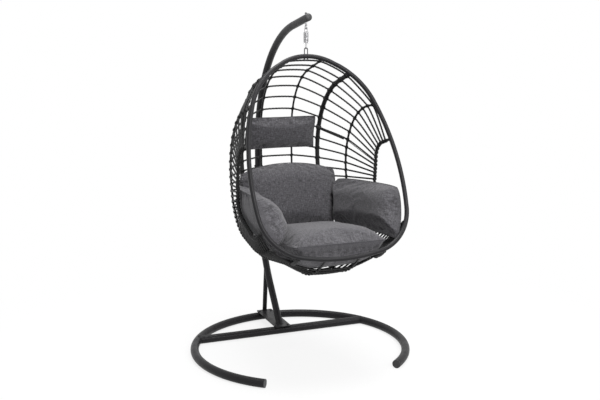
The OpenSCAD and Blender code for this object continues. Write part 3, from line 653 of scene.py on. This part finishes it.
def pad(name, middle, front, behind, draw, seed,
        powers=(4, 4, 4, 4), corner=0.06, wider=(0, 0, 0, 0)):
    """Cushion about a middle surface: two crowned faces that meet in one seam.

    draw pulls the sides in between the corners, and corner rounds the upper corners off and the lower
    ones a little. wider lets the soft cloth reach past the construction on the sides -u, +u, -v and +v.
    """
    places = pad_places()
    u, v = np.meshgrid(places, places, indexing="ij")
    lower_corner = 0.3
    rounded = 1 - corner * (u * v) ** 4 * np.where(v > 0, 1, lower_corner)
    a = u * (1 - draw * (1 - v * v)) * rounded * np.where(u > 0, 1 + wider[1], 1 + wider[0])
    b = v * (1 - draw * (1 - u * u)) * rounded * np.where(v > 0, 1 + wider[3], 1 + wider[2])
    base = middle(a, b)
    normal = surface_normals(middle, a, b)
    full = fullness(u, v, powers)
    low, zero, high = (np.array(value) for value in (-1.0, 0.0, 1.0))
    span_u = span(middle(low, zero), middle(high, zero))
    span_v = span(middle(zero, low), middle(zero, high))
    from_u = (1 - np.abs(u)) * span_u / 2
    from_v = (1 - np.abs(v)) * span_v / 2
    edge = np.minimum(from_u, from_v)
    run = np.where(from_u < from_v,
                   v * span_v / 2 + SIDE_APART * np.sign(u), u * span_u / 2 + END_APART * np.sign(v))
    count = 2 * GRID + 1
    inner = (slice(1, -1), slice(1, -1))

    def both(front_values, back_values):
        """Values of the whole front face, then of the back face inside its seam."""
        width = front_values.shape[2:]
        return np.vstack([front_values.reshape(-1, *width), back_values[inner].reshape(-1, *width)])

    cut = both(base + (front * full)[..., None] * normal, base - (behind * full)[..., None] * normal)
    outward = both(normal, -normal)
    from_edge = both(edge[..., None], edge[..., None])[:, 0]
    along_seam = both(run[..., None], run[..., None] + FACE_APART)[:, 0]
    index = np.arange(count * count).reshape(count, count)
    back = index.copy()
    back[inner] = np.arange((count - 2) ** 2).reshape(count - 2, count - 2) + count * count
    faces = []
    for i in range(count - 1):
        for j in range(count - 1):
            faces.append((index[i, j], index[i + 1, j], index[i + 1, j + 1], index[i, j + 1]))
            faces.append((back[i, j], back[i, j + 1], back[i + 1, j + 1], back[i + 1, j]))
    flat = np.stack([u * span_u / 2, v * span_v / 2], -1) * MM
    back_shift = [1.7, 0.9]
    uvs = both(flat, flat + back_shift)
    rim = np.concatenate([index[:, 0], index[-1, 1:], index[-2::-1, -1], index[0, -2:0:-1]])
    start = cut - outward * (INSET * (1 - np.exp(-from_edge / INSET_FADE)))[:, None]
    piece = new_piece(f"{name}_cover", placed(start), faces, CLOTH, uvs=uvs)
    return {"name": name, "piece": piece, "cut": cut, "start": start, "outward": outward,
            "from_edge": from_edge, "along_seam": along_seam, "rim": rim, "seed": seed}


def placed(points):
    """Many places written about the floor ring's centre, in the part's frame in metres."""
    return (points - [0, ORIGIN_Y, 0]) * MM


def inflate(pads):
    """Blows the covers up as cloth a little larger than its cut, held at the seams."""
    for cover in pads:
        piece = cover["piece"]
        held = piece.vertex_groups.new(name="seam")
        held.add([int(i) for i in cover["rim"]], 1.0, "REPLACE")
        settings = piece.modifiers.new("cloth", "CLOTH").settings
        settings.quality = 5
        settings.vertex_group_mass = "seam"
        settings.tension_stiffness = settings.compression_stiffness = 20
        settings.shear_stiffness = 8
        settings.bending_stiffness = 2.0
        settings.use_pressure = True
        settings.uniform_pressure_force = PRESSURE
        settings.shrink_min = -SLACK
        settings.effector_weights.gravity = 0
    for number in range(1, CLOTH_FRAMES + 1):
        bpy.context.scene.frame_set(number)
    graph = bpy.context.evaluated_depsgraph_get()
    for cover in pads:
        piece = cover["piece"]
        blown = np.empty(3 * len(piece.data.vertices))
        piece.evaluated_get(graph).data.vertices.foreach_get("co", blown)
        moved = (blown.reshape(-1, 3) - placed(cover["start"])) / MM
        size = np.linalg.norm(moved, axis=1)
        moved *= np.minimum(1, CAP / np.maximum(size, 1e-6))[:, None]
        cover["start"] = cover["start"] + moved
    for cover in pads:
        piece = cover["piece"]
        piece.modifiers.clear()
        piece.vertex_groups.clear()
    bpy.context.scene.frame_set(1)


def finish_pad(cover, pucker=19.0, crumple=3.0):
    """Gathers the cloth along the seam, keeps it within its cut and sews a welt on it."""
    fold_width, fold_length, wave_length = 24, 150, 110
    gather_reach, seam_width, wave_fade = 30, 6, 40
    seed, edge, seam = cover["seed"], cover["from_edge"], cover["along_seam"]
    sheet = cover["start"]
    spots = np.stack([seam / fold_width, np.full_like(seam, seed), edge / fold_length], -1)
    folds = np.abs(fractal(spots, 1.0, seed))
    gather = np.exp(-edge / gather_reach) * (1 - np.exp(-edge / seam_width))
    wave = fractal(sheet, 1 / wave_length, seed + 11)
    inside = 1 - np.exp(-edge / wave_fade)
    lift = crumple * wave * inside - pucker * folds * gather
    sheet = sheet + lift[:, None] * cover["outward"]
    proud = ((sheet - cover["cut"]) * cover["outward"]).sum(1)
    kept = PROUD - SOFTNESS * np.log1p(np.exp((PROUD - proud) / SOFTNESS))
    kept = np.where(edge > 0, kept, proud)
    sheet = sheet + (kept - proud)[:, None] * cover["outward"]
    piece = cover["piece"]
    piece.data.vertices.foreach_set("co", placed(sheet).ravel())
    piece.data.update()
    smooth = piece.modifiers.new("smooth", "SUBSURF")
    smooth.levels = smooth.render_levels = 1
    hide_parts(cover["name"])
    welt = Sweeps()
    welt.add(placed(sheet[cover["rim"]]), 2.2 * MM, 8, closed=True)
    welt.piece(f"{cover['name']}_seam", CLOTH, "melange_cloth")


def stack(x, y, z):
    """One array of places from arrays of their coordinates."""
    x, y, z = np.broadcast_arrays(x, y, z)
    return np.stack([x, y, z], -1)


def make_seat():
    """Lies on the straights between the main ribs' lower bends."""
    width, depth, over, under, front = 505, 650, 80, 138.4, 586
    pitch = 180 + RIBS[MAIN]["headings"][2]
    rib = RIBS[MAIN]
    walked = sum(step_length(s) for s in rib["path"][:4])
    first = along(rib["path"], rib["start"], rib["headings"][0], walked)[0]
    second = along(rib["path"], rib["start"], rib["headings"][0], walked + rib["path"][4][0])[0]
    rest = (first + second) / 2
    slope = math.radians(pitch)
    above_rib = (rib["across"] / 2 + over) / math.cos(slope)
    front_z = rest[1] - (rest[0] + front) * math.tan(slope) + above_rib

    def middle(u, v):
        run = depth * (v + 1) / 2
        return stack(u * width / 2, -front + run * math.cos(slope), front_z + run * math.sin(slope))

    return pad("seat_cushion", middle, over, under, draw=0.03, seed=1, wider=(0.036, 0.036, 0.01, 0))


def make_back():
    """Leans on the back strands, bowed and higher in its middle."""
    width, height, lean, foot_y, foot_z = 596, 350, 19, 110, 700
    bow, rise, taper = 30, 45, 0.1
    up = heading(90 - lean)

    def middle(u, v):
        run = height * (v + 1) / 2 + rise * (1 - u * u) * (1 + v) / 2
        y = foot_y - bow * math.cos(math.radians(lean)) * u * u + run * up[0]
        return stack(u * width / 2 * (1 - taper * (1 - v)), y, foot_z + run * up[1])

    return pad("back_cushion", middle, 75, 154.3, draw=0.01, seed=2, wider=(0.028, 0.028, 0, 0))


def make_arm(name, side, inside, powers, seed):
    """Stands on the side ribs, bent in at its foot and at its rear end, and out at its upper front."""
    length, height, foot_z, rise, outside = 636, 250, 745, 20, 10
    half_gap, rear_bend, foot_bend, front_bend, behind_hoop = 396.1, 90, 52, 18, 28

    def middle(u, v):
        z = foot_z + height * (v + 1) / 2 + rise * u
        lean = math.radians(HOOP_LEAN)
        front = (z - HOOP_TOP) * math.tan(lean) - HANGER_Y + behind_hoop
        x = (half_gap - rear_bend * ((1 - u) / 2) ** 3 - foot_bend * ((1 - v) / 2) ** 3
             + front_bend * ((1 + u) / 2) ** 4 * (1 + v) / 2)
        return stack(x * side, front + length * (1 - u) / 2, z)

    # Mirroring turns the middle surface's normal outwards, so the depths swap
    depths = (inside, outside) if side > 0 else (outside, inside)
    return pad(name, middle, *depths, draw=0.02, seed=seed, powers=powers,
               corner=0.08, wider=(0.03, 0, 0.07, 0))


def make_pillow():
    """Leans on the back strands above the back cushion."""
    width, height, lean, y, z = 440, 200, 14, 312, 1245
    up = heading(90 + lean)

    def middle(u, v):
        return stack(u * width / 2, y + up[0] * v * height / 2, z + up[1] * v * height / 2)

    return pad("head_pillow", middle, 43, 32, draw=0.05, seed=5)


# ---------- pillow straps and welds ----------

STRAP_ROW = 7
STRAP_WIDTH, STRAP_THICKNESS = 17 * MM, 1.6 * MM
# Where a strap is sewn to the pillow's side, written about the ring's centre
SEWN = (221, 303, 1278)


def band(points, wide, width, thick):
    """A flat strap along the points, its width along the given directions."""
    tangents = np.gradient(points, axis=0)
    tangents /= np.linalg.norm(tangents, axis=1)[:, None]
    wide = wide - tangents * (wide * tangents).sum(1)[:, None]
    wide /= np.linalg.norm(wide, axis=1)[:, None]
    through = np.cross(tangents, wide)
    corners = [(-1, -1), (1, -1), (1, 1), (-1, 1)]
    verts = np.stack([points + a * width / 2 * wide + b * thick / 2 * through for a, b in corners], 1)
    faces = []
    for i in range(len(points) - 1):
        for j in range(4):
            k = (j + 1) % 4
            faces.append((4 * i + j, 4 * i + k, 4 * i + 4 + k, 4 * i + 4 + j))
    last = 4 * (len(points) - 1)
    faces += [(3, 2, 1, 0), (last, last + 1, last + 2, last + 3)]
    return verts.reshape(-1, 3), faces


def off(side, inwards, forwards, upwards=0.0):
    """A step from a strand on one side of the basket into the basket."""
    return np.array([-side * inwards, -forwards, upwards]) * MM


def make_straps():
    """Webbing from the pillow's sides along a strand, with a doubled cord on its end."""
    share = ROWS[STRAP_ROW]
    cord, stitch, stitch_reach = 1.7 * MM, 1.2 * MM, 5.5
    for side, hand in ((-1, "left"), (1, "right")):
        main, aside, arm = (rib_place(i, side, share)[0] for i in (MAIN, SIDE, ARM))
        sewn = place(side * SEWN[0], *SEWN[1:])
        over = main + off(side, 3, 17, 1)
        before = main + (aside - main) * 0.12 + off(side, 4, 9)
        after = main + (aside - main) * 0.9 + off(side, 7, 5)
        route = resampled([sewn, over, before, after], 6 * MM)
        upright = np.tile([0.0, 0.0, 1.0], (len(route), 1))
        verts, faces = band(route, upright, STRAP_WIDTH, STRAP_THICKNESS)
        piece = new_piece(f"{hand}_pillow_strap", verts, faces, WEBBING)
        round_edges = piece.modifiers.new("edges", "BEVEL")
        round_edges.width = 0.5 * MM
        tie = Sweeps()
        for lift in (-1, 1):
            step = off(side, 6, 5, 4.5 * lift)
            halfway = aside + (arm - aside) * 0.5
            tie.add(resampled([after, aside + step, halfway + step, arm + step], 8 * MM), cord, 8)
        for share_of_tie in np.arange(0.06, 1.0, 0.055):
            middle = aside + (arm - aside) * share_of_tie + off(side, 6, 5)
            ends = [middle + off(side, 0, 0, z) for z in (-stitch_reach, 0, stitch_reach)]
            tie.add(ends, stitch, 6)
        tie.piece(f"{hand}_pillow_tie", WEBBING, "wicker_strand")


def ray_to_tube(start, way, centre, axis, radius):
    """Where a ray first meets a round tube, or passes nearest to it."""
    flat_way = way - axis * way.dot(axis)
    flat = (start - centre) - axis * (start - centre).dot(axis)
    a, b, c = flat_way.dot(flat_way), flat.dot(flat_way), flat.dot(flat) - radius * radius
    return start + way * (-b - math.sqrt(max(b * b - a * c, 0))) / a


def post_places():
    """Side view: the post's foot, and its place and lean where the brace meets it."""
    straight, bend = POST_PATH
    first = 90 - POST_LEAN
    foot_y = POST_Y - (step_move(straight, first) + step_move(bend, first))[0]
    bend_start = np.array([foot_y, PLATE_TOP]) + step_move(straight, first)
    rise = (BRACE_HEIGHT - bend_start[1]) / bend[0]
    angle = math.degrees(math.acos(math.cos(math.radians(first)) - rise))
    return foot_y, bend_start + step_move((bend[0], angle - first), first), 90 - angle


def make_stand_welds():
    """Beads round the stand's welded joints."""
    beads = Sweeps()
    turn = np.linspace(0, 2 * math.pi, 49)[:-1]
    bead, bead_z = 2.6 * MM, PLATE_TOP + 0.8
    ring, post, brace = RING_TUBE / 2, POST_TUBE / 2, BRACE_TUBE / 2
    for side in (-1, 1):
        points = []
        for t in turn:
            y = CROSS_TUBE_Y + ring * math.cos(t)
            reach = RING_RADIUS - ring * abs(math.cos(t))
            points.append(place(side * math.sqrt(reach**2 - y**2), y, ring + ring * math.sin(t)))
        beads.add(points, bead, 8, closed=True)
    post_foot, meeting, lean = post_places()
    brace_foot = RING_RADIUS + PLATE_MARGIN - brace
    foot, top = np.array([0, brace_foot, PLATE_TOP]), np.array([0, *meeting])
    way = (top - foot) / np.linalg.norm(top - foot)
    upright = math.cos(math.radians(POST_LEAN))
    for y, radius, rise in ((post_foot, post, upright), (brace_foot, brace, way[2])):
        oval = [place(radius * math.cos(t), y + radius / rise * math.sin(t), bead_z) for t in turn]
        beads.add(oval, bead, 8, closed=True)
    across = np.array([1.0, 0, 0])
    other = np.cross(way, across)
    axis = np.array([0, math.sin(math.radians(lean)), math.cos(math.radians(lean))])
    joint = []
    for t in turn:
        start = foot + brace * (math.cos(t) * across + math.sin(t) * other)
        joint.append(place(*ray_to_tube(start, way, top, axis, post)))
    beads.add(joint, bead, 8, closed=True)
    beads.piece("stand_weld_beads", STAND_PAINT, "stand_paint", body="stand")


# ---------- hanger ----------

def make_spring():
    """The drawbar spring's coil, wound as one round wire."""
    low, high = (corner[2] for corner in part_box("coil_spring"))
    wire = COIL["wire"] / 2 * MM
    turns, steps_per_turn = COIL["turns"], 28
    count = turns * steps_per_turn
    turn = np.linspace(0, 2 * math.pi * turns, count)
    heights = np.linspace(low + wire, high - wire, count)
    centre = place(0, -HANGER_Y, 0)
    points = np.stack([centre[0] + COIL["radius"] * MM * np.cos(turn),
                       centre[1] + COIL["radius"] * MM * np.sin(turn), heights], 1)
    winding = Sweeps()
    winding.add(points, wire, 12)
    piece = winding.piece("spring_coil", CHROME, "bright_hardware", body="spring")
    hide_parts("coil_spring")
    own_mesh(piece)


# ---------- camera, light and floor ----------

FRAME_WIDTH = 600
FOCAL_PIXELS = 930
CAMERA_AT = (-1900.2, -4840.7, 1889.7)
CAMERA_AHEAD = (0.35879, 0.91422, -0.18837)
AMBIENT = 0.5
FLOOR_WHITE = (0.86, 0.86, 0.86)


def make_camera():
    """Stands in front of the chair, left of it, a little above the hoop."""
    data = bpy.data.cameras.new("camera")
    data.sensor_fit = "HORIZONTAL"
    data.sensor_width = 36
    data.lens = FOCAL_PIXELS / FRAME_WIDTH * data.sensor_width
    data.clip_end = 100
    camera = bpy.data.objects.new("camera", data)
    bpy.context.collection.objects.link(camera)
    camera.location = place(*CAMERA_AT)
    camera.rotation_euler = Vector(CAMERA_AHEAD).to_track_quat("-Z", "Y").to_euler()
    bpy.context.scene.camera = camera


def softbox(name, place_at, aim, size, power):
    """An area light that points at its aim."""
    data = bpy.data.lights.new(name, "AREA")
    data.shape = "RECTANGLE"
    data.size, data.size_y = size
    data.energy = power
    lamp = bpy.data.objects.new(name, data)
    bpy.context.collection.objects.link(lamp)
    lamp.location = place_at
    lamp.rotation_euler = (Vector(aim) - Vector(place_at)).to_track_quat("-Z", "Y").to_euler()


def seen_ray(shader):
    """One for rays that show the background: camera, glossy and transmission rays."""
    path = shader.node("ShaderNodeLightPath")
    seen = path.outputs["Is Camera Ray"]
    for kind in ("Is Glossy Ray", "Is Transmission Ray"):
        larger = shader.node("ShaderNodeMath", [(0, seen), (1, path.outputs[kind])], operation="MAXIMUM")
        seen = larger.outputs[0]
    return seen


class WorldShader(Shader):
    """The same helpers for the world's node graph."""

    def __init__(self, world):
        world.use_nodes = True
        self.tree = world.node_tree


def make_world():
    """White where it is seen, and dimmer as a light."""
    world = bpy.data.worlds.new("studio")
    bpy.context.scene.world = world
    shader = WorldShader(world)
    ambient = shader.tree.nodes["Background"]
    ambient.inputs["Color"].default_value = (1, 1, 1, 1)
    ambient.inputs["Strength"].default_value = AMBIENT
    white = shader.node("ShaderNodeBackground", Color=(1, 1, 1, 1), Strength=1.0)
    mixed = shader.node("ShaderNodeMixShader",
                        [(0, seen_ray(shader)), (1, ambient.outputs[0]), (2, white.outputs[0])])
    shader.tree.links.new(mixed.outputs[0], shader.tree.nodes["World Output"].inputs["Surface"])


def make_floor():
    """A pale floor that keeps the shadow and fades to white away from the chair."""
    # Distances from the middle between which the floor fades, and how much of it glows white there
    fade_range = {"From Min": 0.7, "From Max": 2.2, "To Min": 0.8, "To Max": 1.0}
    size = 30
    corners = [(-size, -size, 0), (size, -size, 0), (size, size, 0), (-size, size, 0)]
    mesh = bpy.data.meshes.new("floor")
    mesh.from_pydata(corners, [], [(0, 1, 2, 3)])
    floor = bpy.data.objects.new("floor", mesh)
    bpy.context.collection.objects.link(floor)
    shader = Shader("floor_white", FLOOR_WHITE, 0.8)
    where = shader.node("ShaderNodeVectorMath", [(0, shader.coordinates("Object", (1, 1, 1)))],
                        operation="LENGTH")
    fade = shader.node("ShaderNodeMapRange", [("Value", where.outputs["Value"])],
                       interpolation_type="SMOOTHSTEP")
    for socket, value in fade_range.items():
        fade.inputs[socket].default_value = value
    share = shader.node("ShaderNodeMath", [(0, fade.outputs[0]), (1, seen_ray(shader))],
                        operation="MULTIPLY")
    glow = shader.node("ShaderNodeEmission", Color=(1, 1, 1, 1), Strength=1.0)
    mixed = shader.node("ShaderNodeMixShader",
                        [(0, share.outputs[0]), (1, shader.surface.outputs[0]), (2, glow.outputs[0])])
    shader.tree.links.new(mixed.outputs[0], shader.tree.nodes["Material Output"].inputs["Surface"])
    mesh.materials.append(shader.material)


def make_studio():
    """Plain floor and soft light from the front, the right and above."""
    make_world()
    make_floor()
    aim = (0, 0, 1)
    softbox("key", (0.6, -4.4, 3.6), aim, (2.4, 1.8), 150)
    softbox("fill", (3.6, -2.2, 2.2), aim, (2.0, 2.4), 30)
    softbox("top", (0.2, 0.0, 4.4), aim, (2.6, 2.6), 170)
    bpy.context.scene.view_settings.view_transform = "Standard"


make_camera()
finish_cad_nodes()
make_strands()
make_knots()
make_bound_ribs()
make_rib_welds()
COVERS = [
    make_seat(),
    make_back(),
    make_arm("right_arm_cushion", 1, inside=101, powers=(10, 6, 6, 3), seed=3),
    make_arm("left_arm_cushion", -1, inside=151, powers=(10, 8, 8, 1.4), seed=4),
    make_pillow(),
]
inflate(COVERS)
for cover in COVERS:
    finish_pad(cover)
make_straps()
make_stand_welds()
make_spring()
make_studio()
